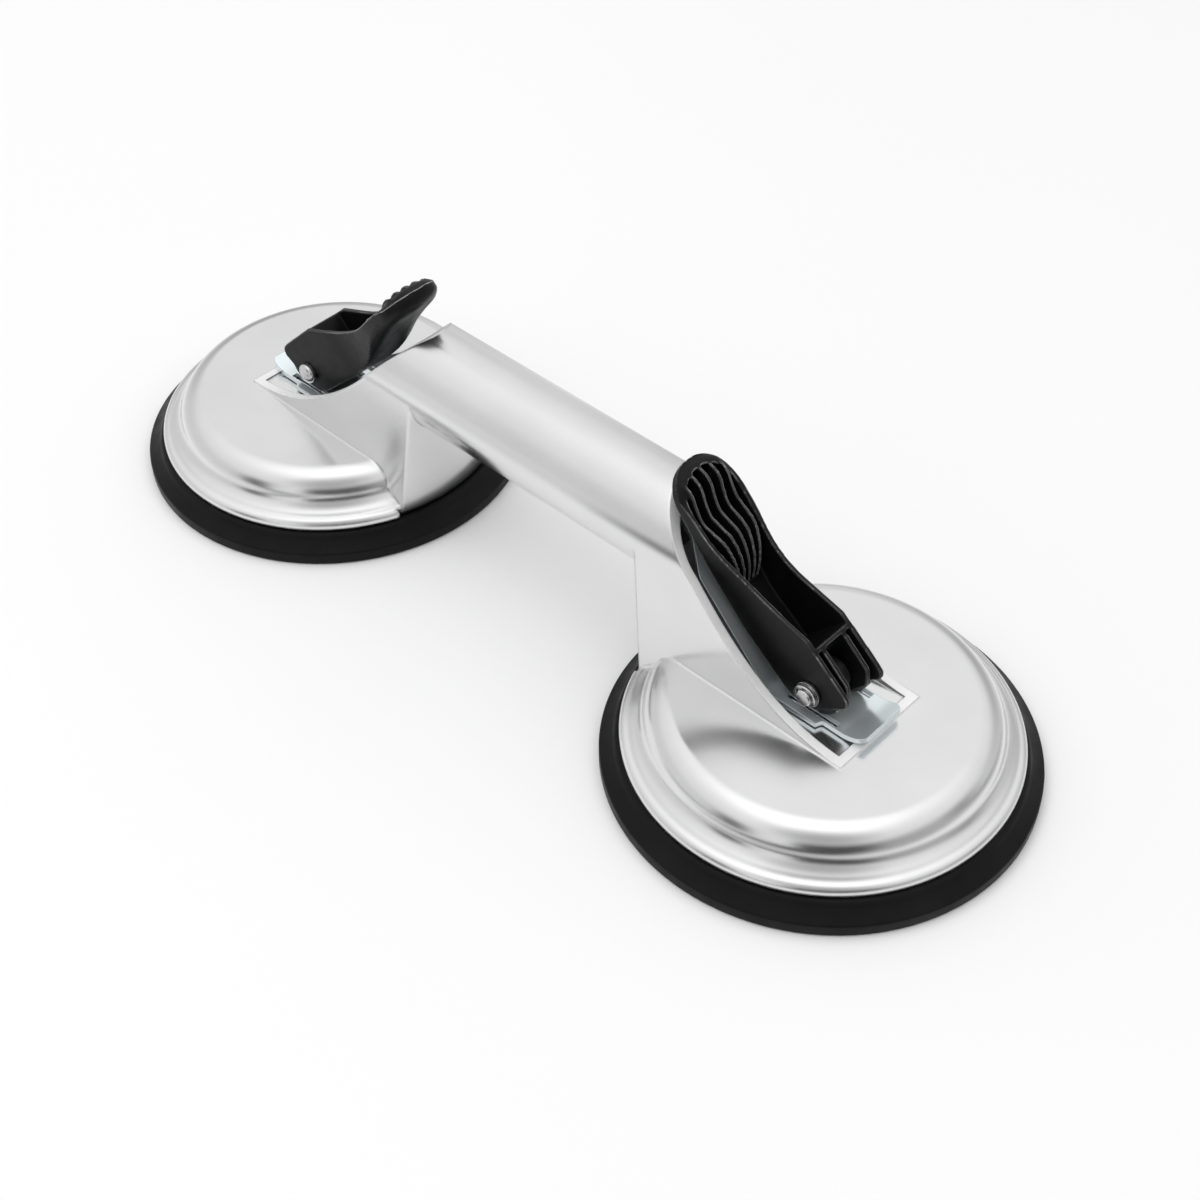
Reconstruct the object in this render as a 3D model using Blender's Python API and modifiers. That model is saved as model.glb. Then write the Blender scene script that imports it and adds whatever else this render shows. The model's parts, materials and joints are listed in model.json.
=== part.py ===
"""Double suction lifter: two rubber suction cups on one cast aluminium body, worked by two cam levers.

Frame: metres, +Z up, origin on the ground midway between the cups, +X along the handle.
Side +1 is the right cup (x > 0) and side -1 is the left cup, its mirror image.
"""

from math import atan2, cos, pi, radians, sin

import bmesh
import bpy
from mathutils import Matrix

MM = 0.001
GAP = 0.3 * MM

# Driving dimensions: cups and handle
CUP_X = 98.8 * MM
PAD_R = 60.0 * MM
PAD_EDGE_Z = 4.5 * MM
DISH_RIM_R = 54.6 * MM
DISH_RIM_Z = 8.7 * MM
DISH_TOP_Z = 22.8 * MM
DISH_FLAT_R = 40.0 * MM
SHOULDER_R = 8.3 * MM
WALL = 2.5 * MM
TUBE_R = 14.85 * MM
TUBE_Z = 52.75 * MM
TUBE_WALL = 2.6 * MM
NECK_FOOT_Y = 17.7 * MM
NECK_FOOT_Z = 9.2 * MM
NECK_END_R = 52.4 * MM
NECK_END_DRAFT = 0.095
NECK_OUT_X = 116.8 * MM
RIM_CUT_Y = 19.2 * MM

# Driving dimensions: pull stud and pad
PIN_Z = 31.0 * MM
STUD_R = 3.0 * MM
EYE_R = 5.2 * MM
EYE_HALF = 2.7 * MM
PAD_BACK_Z = 5.2 * MM
PLATE_R = 36.0 * MM
PLATE_Z = 5.5 * MM
NUT_Z = 9.3 * MM
NUT_H = 4.0 * MM

# Driving dimensions: pin and its fittings
PIN_R = 2.5 * MM
PIN_HEAD_R = 3.3 * MM
PIN_HEAD_Y = -10.3 * MM
PIN_END_Y = 10.9 * MM
CLIP_Y = 9.6 * MM
CLIP_T = 0.8 * MM

# Driving dimensions: wear plate
WEAR_TOP_Z = 24.7 * MM
WEAR_T = 1.5 * MM

# Driving dimensions: lever, in its own frame of u (towards the tip) and v (away from the tube)
LEVER_REST = {1: 42.0, -1: 47.0}
CAM_RISE = 2.5 * MM
CAM_LOW = 5.95 * MM
CAM_START = 225.0
CAM_TURN = 135.0
LEVER_HALF = 7.8 * MM
LEVER_WALL = 1.4 * MM
PADDLE_HALF = 10.1 * MM
PADDLE_U = 57.6 * MM
WEB_U = (8.9 * MM, 10.2 * MM)
RIB_STEP = 3.2 * MM

SEG_BIG = 60
SEG_SMALL = 20
SIDES = {"right": 1, "left": -1}


def clear_scene():
    """Start from an empty scene."""
    for obj in list(bpy.data.objects):
        bpy.data.objects.remove(obj, do_unlink=True)


def new_collection(name):
    group = bpy.data.collections.new(name)
    bpy.context.scene.collection.children.link(group)
    return group


def material(name, colour, roughness, metallic):
    mat = bpy.data.materials.new(name)
    mat.use_nodes = True
    shader = mat.node_tree.nodes["Principled BSDF"]
    shader.inputs["Base Color"].default_value = (*colour, 1.0)
    shader.inputs["Roughness"].default_value = roughness
    shader.inputs["Metallic"].default_value = metallic
    return mat


def add(name, mesh, group, mat=None):
    """Link a mesh as an object in a collection."""
    obj = bpy.data.objects.new(name, mesh)
    group.objects.link(obj)
    if mat is not None:
        mesh.materials.append(mat)
    if group is cutters:
        obj.hide_render = True
        obj.display_type = "WIRE"
    return obj


def smooth(obj, angle=35.0):
    obj.data.shade_smooth()
    obj.data.set_sharp_from_angle(angle=radians(angle))
    return obj


def evaluated_mesh(obj):
    """A new mesh of what the object's modifiers or curve settings make."""
    graph = bpy.context.evaluated_depsgraph_get()
    return bpy.data.meshes.new_from_object(obj.evaluated_get(graph))


def arc(cx, cy, r, start, end, count):
    """Points on an arc, angles in degrees."""
    steps = [radians(start + (end - start) * i / count) for i in range(count + 1)]
    return [(cx + r * cos(t), cy + r * sin(t)) for t in steps]


def bezier(a, b, c, d, count):
    """Points on a cubic curve from a to d with handles b and c."""
    points = []
    for i in range(count + 1):
        t = i / count
        w = ((1 - t) ** 3, 3 * t * (1 - t) ** 2, 3 * t * t * (1 - t), t ** 3)
        points.append(tuple(sum(k * p[n] for k, p in zip(w, (a, b, c, d))) for n in (0, 1)))
    return points


def turned(name, profile, group, mat=None, steps=SEG_BIG, closed=False, x=0.0):
    """A turned piece about a vertical axis at x: its (r, z) profile runs down the outer side."""
    mesh = bpy.data.meshes.new(name)
    verts = [(r, 0.0, z) for r, z in profile]
    edges = [(i, i + 1) for i in range(len(verts) - 1)]
    if closed:
        edges.append((len(verts) - 1, 0))
    mesh.from_pydata(verts, edges, [])
    obj = add(name, mesh, group, mat)
    obj.location.x = x
    screw = obj.modifiers.new("turn", "SCREW")
    screw.steps = steps
    screw.render_steps = steps
    screw.use_merge_vertices = True
    screw.merge_threshold = 0.00001
    screw.use_smooth_shade = True
    return obj


def prism(name, outline, low, high, plane, group, mat=None):
    """A flat outline given thickness. plane XZ runs along Y, YZ along X and XY along Z."""
    curve = bpy.data.curves.new(name, "CURVE")
    curve.dimensions = "2D"
    curve.fill_mode = "BOTH"
    curve.extrude = (high - low) / 2
    spline = curve.splines.new("POLY")
    spline.points.add(len(outline) - 1)
    for point, (a, b) in zip(spline.points, outline):
        point.co = (a, b, 0.0, 1.0)
    spline.use_cyclic_u = True
    flat = bpy.data.objects.new(name + "_outline", curve)
    bpy.context.scene.collection.objects.link(flat)
    bpy.context.view_layer.update()
    mesh = evaluated_mesh(flat)
    bpy.data.objects.remove(flat, do_unlink=True)
    middle = (low + high) / 2
    cycled = Matrix(((0, 0, 1, 0), (1, 0, 0, 0), (0, 1, 0, 0), (0, 0, 0, 1)))
    turn = {
        "XY": Matrix.Translation((0, 0, middle)),
        "XZ": Matrix.Translation((0, middle, 0)) @ Matrix.Rotation(pi / 2, 4, "X"),
        "YZ": Matrix.Translation((middle, 0, 0)) @ cycled,
    }[plane]
    form = bmesh.new()
    form.from_mesh(mesh)
    bmesh.ops.remove_doubles(form, verts=form.verts, dist=0.000001)
    bmesh.ops.transform(form, matrix=turn, verts=form.verts)
    bmesh.ops.recalc_face_normals(form, faces=form.faces)
    form.to_mesh(mesh)
    form.free()
    mesh.name = name
    return add(name, mesh, group, mat)


def rod(name, r, low, high, axis, centre, group, mat=None, steps=SEG_SMALL):
    """A cylinder along X, Y or Z; centre is its place on the other two axes."""
    mesh = bpy.data.meshes.new(name)
    turn = {
        "X": Matrix.Translation(((low + high) / 2, *centre)) @ Matrix.Rotation(pi / 2, 4, "Y"),
        "Y": Matrix.Translation((centre[0], (low + high) / 2, centre[1])) @ Matrix.Rotation(pi / 2, 4, "X"),
        "Z": Matrix.Translation((*centre, (low + high) / 2)),
    }[axis]
    form = bmesh.new()
    bmesh.ops.create_cone(
        form, cap_ends=True, segments=steps, radius1=r, radius2=r, depth=high - low, matrix=turn
    )
    form.to_mesh(mesh)
    form.free()
    return add(name, mesh, group, mat)


def box(name, low, high, group):
    mesh = bpy.data.meshes.new(name)
    size = [b - a for a, b in zip(low, high)]
    middle = [(a + b) / 2 for a, b in zip(low, high)]
    place = Matrix.Translation(middle) @ Matrix.Diagonal((*size, 1.0))
    form = bmesh.new()
    bmesh.ops.create_cube(form, size=1.0, matrix=place)
    form.to_mesh(mesh)
    form.free()
    return add(name, mesh, group)


def combine(obj, other, how):
    step = obj.modifiers.new(how.lower() + "_" + other.name, "BOOLEAN")
    step.operation = how
    step.object = other
    step.solver = "EXACT"
    return obj


def dish_outside():
    """Outer profile of a cup's cast dish, from its middle out and down to the rim."""
    top = arc(DISH_FLAT_R, DISH_TOP_Z - SHOULDER_R, SHOULDER_R, 90, 8, 5)
    band = [(51.5 * MM, 13.0 * MM), (52.6 * MM, 12.2 * MM)]
    bead = arc(52.3 * MM, 9.7 * MM, 2.3 * MM, 78, -5, 3)
    return [(0.0, DISH_TOP_Z)] + top + band + bead + [(DISH_RIM_R - 0.1 * MM, DISH_RIM_Z)]


def dish_inside():
    """Inner profile of the dish, from its middle out and down past the rim."""
    top = arc(38.2 * MM, DISH_TOP_Z - WALL - 6.8 * MM, 6.8 * MM, 90, 5, 4)
    band = [(46.0 * MM, 12.2 * MM), (50.4 * MM, 10.0 * MM), (51.6 * MM, 7.5 * MM)]
    return [(0.0, DISH_TOP_Z - WALL)] + top + band + [(0.0, 7.5 * MM)]


def arch(shrink):
    """Section of a neck across the handle: straight sides leaning in to a round top."""
    r = TUBE_R + 0.1 * MM - shrink
    lean = atan2(NECK_FOOT_Y - TUBE_R, TUBE_Z - NECK_FOOT_Z)
    foot = NECK_FOOT_Y - shrink
    top = arc(0.0, TUBE_Z, r, -lean * 180 / pi, 180 + lean * 180 / pi, 20)
    return [(foot, NECK_FOOT_Z)] + top + [(-foot, NECK_FOOT_Z)]


def opening_outline():
    """Side view of what the lever's opening takes off the neck, above one concave curve."""
    edge = bezier(
        (44.0 * MM, 68.2 * MM), (57.0 * MM, 66.0 * MM), (77.0 * MM, 23.0 * MM), (117.0 * MM, 23.6 * MM), 20
    )
    return edge + [(122.0 * MM, 23.6 * MM), (122.0 * MM, 74.0 * MM), (44.0 * MM, 74.0 * MM)]


def mirrored(points, side):
    """Outline points with x on the wanted side."""
    return [(side * a, b) for a, b in points]


def drum(name, r, side):
    """Upright cone about a cup's centre that the neck's inner end follows, wider at the top."""
    height = 80 * MM
    top_r = r + NECK_END_DRAFT * height
    mesh = bpy.data.meshes.new(name)
    place = Matrix.Translation((side * CUP_X, 0.0, height / 2))
    form = bmesh.new()
    bmesh.ops.create_cone(
        form, cap_ends=True, segments=96, radius1=r, radius2=top_r, depth=height, matrix=place
    )
    form.to_mesh(mesh)
    form.free()
    return add(name, mesh, cutters)


def make_body():
    """The one-piece casting: two dishes, two hollow necks and the tubular handle between them."""
    body = turned("aluminium_body", dish_outside() + [(0.0, DISH_RIM_Z)], parts, aluminium, x=CUP_X)
    twin = turned("left_dish", dish_outside() + [(0.0, DISH_RIM_Z)], cutters, x=-CUP_X)
    combine(body, twin, "UNION")
    for name, side in SIDES.items():
        ends = sorted((side * 38 * MM, side * 52 * MM))
        low, high = (ends[0], -RIM_CUT_Y, 5 * MM), (ends[1], RIM_CUT_Y, 15 * MM)
        rim_end = box(name + "_rim_end", low, high, cutters)
        combine(rim_end, drum(name + "_rim_core", NECK_END_R - 0.3 * MM, side), "DIFFERENCE")
        combine(body, rim_end, "DIFFERENCE")
    hollows = []
    for name, side in SIDES.items():
        reach = sorted((side * 38 * MM, side * NECK_OUT_X))
        neck = prism(name + "_neck", arch(0.0), *reach, "YZ", cutters)
        combine(neck, drum(name + "_neck_end", NECK_END_R, side), "INTERSECT")
        combine(body, neck, "UNION")
        reach = sorted((side * 36 * MM, side * (NECK_OUT_X - TUBE_WALL)))
        inside = prism(name + "_neck_inside", arch(TUBE_WALL), *reach, "YZ", cutters)
        combine(inside, drum(name + "_neck_end_inside", NECK_END_R - TUBE_WALL, side), "INTERSECT")
        floor = turned(name + "_floor", dish_outside() + [(0.0, 5 * MM)], cutters, x=side * CUP_X)
        hollows.append(combine(inside, floor, "DIFFERENCE"))
        hollows.append(turned(name + "_dish_inside", dish_inside(), cutters, x=side * CUP_X))
        outline = mirrored(opening_outline(), side)
        hollows.append(prism(name + "_opening", outline, -25 * MM, 25 * MM, "XZ", cutters))
        centre = (side * CUP_X, 0.0)
        hollows.append(rod(name + "_stud_hole", 3.6 * MM, 10 * MM, 30 * MM, "Z", centre, cutters))
    axis = (0.0, TUBE_Z)
    tube = rod("tube_outside", TUBE_R, -49 * MM, 49 * MM, "X", axis, cutters, steps=40)
    combine(body, tube, "UNION")
    bore = rod("tube_inside", TUBE_R - TUBE_WALL, -62 * MM, 62 * MM, "X", axis, cutters, steps=40)
    hollows.append(bore)
    for hollow in hollows:
        combine(body, hollow, "DIFFERENCE")
    return body


def make_pad(name, side):
    """Rubber suction pad: flat sealing face, thick outer edge and a collar under the metal rim."""
    profile = [
        (0.0, PAD_BACK_Z), (48.5 * MM, PAD_BACK_Z), (51.0 * MM, 6.2 * MM), (51.9 * MM, 8.2 * MM),
        (55.3 * MM, 8.2 * MM), (55.9 * MM, 7.6 * MM), (56.4 * MM, 6.6 * MM),
        (59.4 * MM, PAD_EDGE_Z + 0.4 * MM), (PAD_R, PAD_EDGE_Z - 0.2 * MM), (PAD_R, 0.9 * MM),
        (59.2 * MM, 0.0), (47.0 * MM, 0.0),
        (45.0 * MM, 1.0 * MM), (0.0, 1.4 * MM),
    ]
    return turned("rubber_pad_" + name, profile, parts, rubber, x=side * CUP_X)


def make_pad_plate(name, side):
    """Steel disc bonded to the back of the pad, with a hub for the stud."""
    bore = STUD_R + GAP
    profile = [
        (bore, NUT_Z - GAP), (8.0 * MM, NUT_Z - GAP), (9.0 * MM, 7.1 * MM), (PLATE_R - 1.0 * MM, 7.1 * MM),
        (PLATE_R, 6.4 * MM), (PLATE_R, PLATE_Z), (bore, PLATE_Z),
    ]
    return turned("pad_plate_" + name, profile, parts, steel, steps=48, closed=True, x=side * CUP_X)


def make_stud(name, side):
    """Pull stud: a round shank with a flat eye for the lever's pin."""
    x = side * CUP_X
    stud = rod("pull_stud_" + name, STUD_R, PLATE_Z, PIN_Z - 3.2 * MM, "Z", (x, 0.0), parts, black_steel)
    eye = rod("eye_" + name, EYE_R, -EYE_HALF, EYE_HALF, "Y", (x, PIN_Z), cutters, steps=28)
    bore = rod("eye_bore_" + name, PIN_R + GAP, -5 * MM, 5 * MM, "Y", (x, PIN_Z), cutters)
    combine(combine(stud, eye, "UNION"), bore, "DIFFERENCE")
    return stud


def make_nut(name, side):
    """Hexagon nut that holds the stud to the pad plate."""
    x = side * CUP_X
    nut = rod("stud_nut_" + name, 5.8 * MM, NUT_Z, NUT_Z + NUT_H, "Z", (x, 0.0), parts, steel, steps=6)
    bore = rod("nut_bore_" + name, STUD_R + GAP, 5 * MM, 20 * MM, "Z", (x, 0.0), cutters)
    return combine(nut, bore, "DIFFERENCE")


def make_spring(name, side):
    """Cone spring round the stud, between the pad plate and the underside of the dish."""
    turns, wire, per_turn = 3.5, 0.7 * MM, 12
    low, high = 7.1 * MM + GAP + wire, DISH_TOP_Z - WALL - GAP - wire
    wide, narrow = 15.0 * MM, 7.5 * MM
    curve = bpy.data.curves.new("spring", "CURVE")
    curve.dimensions = "3D"
    curve.bevel_depth = wire
    curve.bevel_resolution = 1
    curve.use_fill_caps = True
    spline = curve.splines.new("POLY")
    count = int(turns * per_turn)
    spline.points.add(count)
    for i, point in enumerate(spline.points):
        t = i / count
        angle = 2 * pi * turns * t
        r = wide + (narrow - wide) * t
        point.co = (side * (CUP_X + r * cos(angle)), r * sin(angle), low + (high - low) * t, 1.0)
    coil = bpy.data.objects.new("coil_path", curve)
    bpy.context.scene.collection.objects.link(coil)
    bpy.context.view_layer.update()
    mesh = evaluated_mesh(coil)
    bpy.data.objects.remove(coil, do_unlink=True)
    form = bmesh.new()
    form.from_mesh(mesh)
    bmesh.ops.remove_doubles(form, verts=form.verts, dist=0.00001)
    bmesh.ops.recalc_face_normals(form, faces=form.faces)
    form.to_mesh(mesh)
    form.free()
    return add("return_spring_" + name, mesh, parts, steel)


def make_wear_plate(name, side):
    """Bent steel strip under the lever: outer tab, slotted floor, ramp and a tongue in the tube."""
    x_tab, x_bend, x_ramp, x_tongue = 117.4 * MM, 110.0 * MM, 87.0 * MM, 49.6 * MM
    ramp_end_z = WEAR_TOP_Z + x_ramp - x_tongue
    top = [
        (x_tab, WEAR_TOP_Z + 2.2 * MM), (114.5 * MM, WEAR_TOP_Z + 1.0 * MM), (x_bend, WEAR_TOP_Z),
        (x_ramp, WEAR_TOP_Z), (x_tongue, ramp_end_z),
    ]
    under = [
        (x_tongue - 1.1 * MM, ramp_end_z - 1.1 * MM), (x_ramp - 0.6 * MM, WEAR_TOP_Z - WEAR_T),
        (x_bend + 0.3 * MM, WEAR_TOP_Z - WEAR_T), (x_tab + 0.5 * MM, WEAR_TOP_Z + 0.9 * MM),
    ]
    outline = mirrored(top + under, side)
    strip = prism("wear_plate_" + name, outline, -10 * MM, 10 * MM, "XZ", parts, zinc)
    x_end = x_tab + 1.0 * MM
    tab_half, ear_half, corner = 8.5 * MM, 10.6 * MM, 3.5 * MM
    half = [
        (45.0 * MM, 5.0 * MM), (55.0 * MM, 5.0 * MM), (62.0 * MM, 9.6 * MM), (88.0 * MM, 9.6 * MM),
        (89.0 * MM, ear_half), (103.5 * MM, ear_half), (103.5 * MM, tab_half),
    ]
    half += arc(x_end - corner, tab_half - corner, corner, 90, 0, 4)
    plan = mirrored(half + [(a, -b) for a, b in reversed(half)], side)
    combine(strip, prism(name + "_wear_plan", plan, 15 * MM, 75 * MM, "XY", cutters), "INTERSECT")
    for where, edge in {"_near": -1, "_far": 1}.items():
        ends = sorted((side * (CUP_X - 6.8 * MM), side * (CUP_X + 9.4 * MM)))
        walls = sorted((edge * (LEVER_HALF - LEVER_WALL - GAP), edge * (LEVER_HALF + GAP)))
        low, high = (ends[0], walls[0], 15 * MM), (ends[1], walls[1], 30 * MM)
        combine(strip, box(name + where + "_relief", low, high, cutters), "DIFFERENCE")
    hole = rod(name + "_wear_hole", 3.6 * MM, 15 * MM, 30 * MM, "Z", (side * CUP_X, 0.0), cutters)
    return combine(strip, hole, "DIFFERENCE")


def lever_to_world(side):
    """Matrix from lever coordinates (u, y, v) about the pin to the object's frame."""
    t = radians(LEVER_REST[side])
    place = Matrix.Translation((side * CUP_X, 0.0, PIN_Z))
    turn = Matrix(((-cos(t), 0, sin(t), 0), (0, 1, 0, 0), (sin(t), 0, cos(t), 0), (0, 0, 0, 1)))
    if side < 0:
        turn = Matrix.Diagonal((-1, 1, 1, 1)) @ turn
    return place @ turn


def cam_point(turn, inset=0.0):
    """Point (u, v) of the cam that touches when the lever has turned by an angle from rest."""
    reach = CAM_LOW + CAM_RISE * turn - inset
    a = radians(CAM_START) - turn
    return (reach * cos(a) + CAM_RISE * sin(a), reach * sin(a) - CAM_RISE * cos(a))


CAM_TURNS = [radians(CAM_TURN + 5.0) * i / 18 for i in range(19)]


def cam_outline():
    """Cam rib in (u, v): it lifts the pin by CAM_RISE per radian, from CAM_LOW as it rests."""
    curve = [cam_point(turn) for turn in CAM_TURNS]
    web = WEB_U[0] + 0.5 * MM
    heel = arc(0.0, 0.0, CAM_LOW, -65, CAM_START - 360.0, 4)
    return curve + [(web, 10.0 * MM), (web, -7.0 * MM)] + heel


def foot_outline():
    """The cam's running face as a shell, which joins each cam rib to the side wall beside it."""
    turns = CAM_TURNS[:9]
    return [cam_point(turn) for turn in turns] + [cam_point(turn, 1.6 * MM) for turn in reversed(turns)]


def lever_side():
    """Side outline of the lever in (u, v)."""
    back = [(-6.2 * MM, 4.0 * MM), (-5.3 * MM, -2.1 * MM), (-1.4 * MM, -6.6 * MM), (2.5 * MM, -8.0 * MM)]
    ends = (16 * MM, -9.0 * MM), (58 * MM, -4.8 * MM)
    under = bezier(ends[0], (34 * MM, -11.0 * MM), (38 * MM, -6.2 * MM), ends[1], 7)
    tip = arc(64.7 * MM, 0.1 * MM, 3.0 * MM, -65, 85, 4)
    rim = [(60 * MM, 2.2 * MM), (54 * MM, 1.2 * MM), (47 * MM, 0.7 * MM)]
    rim += [(41 * MM, 1.1 * MM), (35 * MM, 1.6 * MM)]
    wall = [(28 * MM, 3.7 * MM), (21 * MM, 6.6 * MM), (13 * MM, 10.6 * MM)]
    heel = [(-4.6 * MM, 11.3 * MM)] + arc(-4.7 * MM, 8.6 * MM, 2.6 * MM, 100, 190, 4)
    return back + under + tip + rim + wall + heel


def lever_plan(shrink):
    """Outline of the lever seen on its face, in (u, y)."""
    half = [
        (-9 * MM, LEVER_HALF), (20 * MM, LEVER_HALF), (27 * MM, 7.5 * MM), (34 * MM, 7.9 * MM),
        (40 * MM, 8.8 * MM), (46 * MM, 9.8 * MM), (52 * MM, PADDLE_HALF),
    ]
    tip = arc(PADDLE_U, 0.0, PADDLE_HALF - shrink, 90, -90, 16)
    near = [(u, y - shrink) for u, y in half]
    return near + tip + [(u, -y) for u, y in reversed(near)]


def rib_outline():
    """Side outline of a finger rib: out of the trough, down for a finger, up to the tip."""
    foot, crest = (33 * MM, -5.0 * MM), (44.5 * MM, 1.6 * MM)
    finger, top = (52 * MM, -0.2 * MM), (61.5 * MM, 4.2 * MM)
    rise = bezier(foot, (38 * MM, -1.0 * MM), (41 * MM, 1.7 * MM), crest, 4)
    dip = bezier(crest, (48.5 * MM, 1.5 * MM), (49.0 * MM, -0.3 * MM), finger, 4)
    swell = bezier(finger, (56 * MM, 0.0 * MM), (57.5 * MM, 4.2 * MM), top, 5)
    end = [(65.5 * MM, 2.4 * MM), (65.5 * MM, -1.6 * MM)]
    end += [(58 * MM, -4.0 * MM), (48 * MM, -4.9 * MM), (33 * MM, -8.6 * MM)]
    return rise + dip[1:] + swell[1:] + end


def make_lever(name, side):
    """Moulded lever: an open trough with finger ribs, a cross web and two cam ribs at the pin."""
    lever = prism("cam_lever_" + name, lever_side(), -12 * MM, 12 * MM, "XZ", parts, plastic)
    plan = prism(name + "_lever_plan", lever_plan(0.0), -20 * MM, 20 * MM, "XY", cutters)
    tools = [(plan, "INTERSECT")]
    ends = (16 * MM, -7.2 * MM), (58 * MM, -3.2 * MM)
    floor = bezier(ends[0], (34 * MM, -9.2 * MM), (38 * MM, -4.6 * MM), ends[1], 7)
    deep = [(WEB_U[1], -6.8 * MM)] + floor + [(70 * MM, -2.4 * MM), (70 * MM, 16 * MM), (WEB_U[1], 16 * MM)]
    pocket = prism(name + "_pocket", deep, -14 * MM, 14 * MM, "XZ", cutters)
    inner = prism(name + "_pocket_plan", lever_plan(LEVER_WALL), -18 * MM, 18 * MM, "XY", cutters)
    tools.append((combine(pocket, inner, "INTERSECT"), "DIFFERENCE"))
    inside = LEVER_HALF - LEVER_WALL
    bay = box(name + "_stud_bay", (-12 * MM, -inside, -14 * MM), (WEB_U[0], inside, 16 * MM), cutters)
    tools.append((bay, "DIFFERENCE"))
    for where, edge in {"_near": -1, "_far": 1}.items():
        reach = sorted((edge * 3.4 * MM, edge * 4.8 * MM))
        tools.append((prism(name + where + "_cam_rib", cam_outline(), *reach, "XZ", cutters), "UNION"))
        reach = sorted((edge * 4.0 * MM, edge * (LEVER_HALF - 0.5 * MM)))
        tools.append((prism(name + where + "_cam_foot", foot_outline(), *reach, "XZ", cutters), "UNION"))
    for i in range(5):
        y = (i - 2) * RIB_STEP
        rib = prism(name + "_finger_rib_%d" % i, rib_outline(), y - 0.45 * MM, y + 0.45 * MM, "XZ", cutters)
        tools.append((rib, "UNION"))
    bore = rod(name + "_lever_bore", PIN_R + GAP, -12 * MM, 12 * MM, "Y", (0.0, 0.0), cutters)
    tools.append((bore, "DIFFERENCE"))
    for tool, how in tools:
        combine(lever, tool, how)
    shape = lever_to_world(side)
    for obj in [lever, inner] + [tool for tool, how in tools]:
        obj.data.transform(shape)
        if shape.determinant() < 0:
            obj.data.flip_normals()
    return lever


def make_pin(name, side):
    """Pivot pin with a domed head and a groove for its clip; its profile lies along Y."""
    under_head = -LEVER_HALF - GAP
    groove_r = 2.0 * MM
    groove_low, groove_high = CLIP_Y - GAP - CLIP_T / 2, CLIP_Y + GAP + CLIP_T / 2
    profile = [
        (0.0, PIN_HEAD_Y), (PIN_HEAD_R - 0.9 * MM, PIN_HEAD_Y), (PIN_HEAD_R, PIN_HEAD_Y + 0.8 * MM),
        (PIN_HEAD_R, under_head), (PIN_R, under_head), (PIN_R, groove_low), (groove_r, groove_low),
        (groove_r, groove_high), (PIN_R, groove_high), (PIN_R, PIN_END_Y - 0.4 * MM),
        (PIN_R - 0.4 * MM, PIN_END_Y), (0.0, PIN_END_Y),
    ]
    pin = turned("pivot_pin_" + name, [(r, -y) for r, y in profile], parts, steel, steps=SEG_SMALL)
    pin.rotation_euler.x = -side * pi / 2
    pin.location = (side * CUP_X, 0.0, PIN_Z)
    return pin


def ring_outline(outer, inner, gap_angle, count):
    """An open ring in its own plane, with its mouth towards -b."""
    start, end = -90 + gap_angle / 2, 270 - gap_angle / 2
    return arc(0, 0, outer, start, end, count) + arc(0, 0, inner, end, start, count)


def make_washer(name, side):
    """Flat washer between the lever and the clip."""
    low, high = sorted((-side * (LEVER_HALF + GAP), -side * (LEVER_HALF + GAP + 0.8 * MM)))
    washer = rod("pin_washer_" + name, 3.8 * MM, low, high, "Y", (side * CUP_X, PIN_Z), parts, steel)
    bore = rod("washer_bore_" + name, PIN_R + GAP, -12 * MM, 12 * MM, "Y", (side * CUP_X, PIN_Z), cutters)
    return combine(washer, bore, "DIFFERENCE")


def make_clip(name, side):
    """Retaining clip sprung into the pin's groove, on the side away from the pin's head."""
    low, high = sorted((-side * (CLIP_Y - CLIP_T / 2), -side * (CLIP_Y + CLIP_T / 2)))
    outline = [(a + side * CUP_X, b + PIN_Z) for a, b in ring_outline(3.5 * MM, 2.0 * MM + GAP, 80, 16)]
    return prism("pin_clip_" + name, outline, low, high, "XZ", parts, steel)


def make_side(name, side):
    """All the pieces of one cup."""
    made = [
        make_pad(name, side), make_pad_plate(name, side), make_stud(name, side), make_nut(name, side),
        make_spring(name, side), make_wear_plate(name, side), make_lever(name, side), make_pin(name, side),
        make_washer(name, side), make_clip(name, side),
    ]
    return made


clear_scene()
parts = new_collection("double_suction_lifter")
cutters = new_collection("cutters")
aluminium = material("polished_aluminium", (0.83, 0.83, 0.84), 0.28, 1.0)
rubber = material("black_rubber", (0.018, 0.018, 0.019), 0.55, 0.0)
plastic = material("black_plastic", (0.02, 0.02, 0.021), 0.45, 0.0)
zinc = material("zinc_plate", (0.62, 0.70, 0.73), 0.30, 1.0)
steel = material("bright_steel", (0.62, 0.62, 0.62), 0.30, 1.0)
black_steel = material("blackened_steel", (0.03, 0.03, 0.032), 0.45, 0.6)
make_body()
for side_name, side_sign in SIDES.items():
    make_side(side_name, side_sign)
for item in parts.objects:
    if item.type == "MESH":
        smooth(item)
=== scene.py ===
"""Looks of the double suction lifter: finer pieces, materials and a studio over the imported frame."""

import json
from math import atan2, cos, degrees, hypot, pi, radians, sin, sqrt

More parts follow.
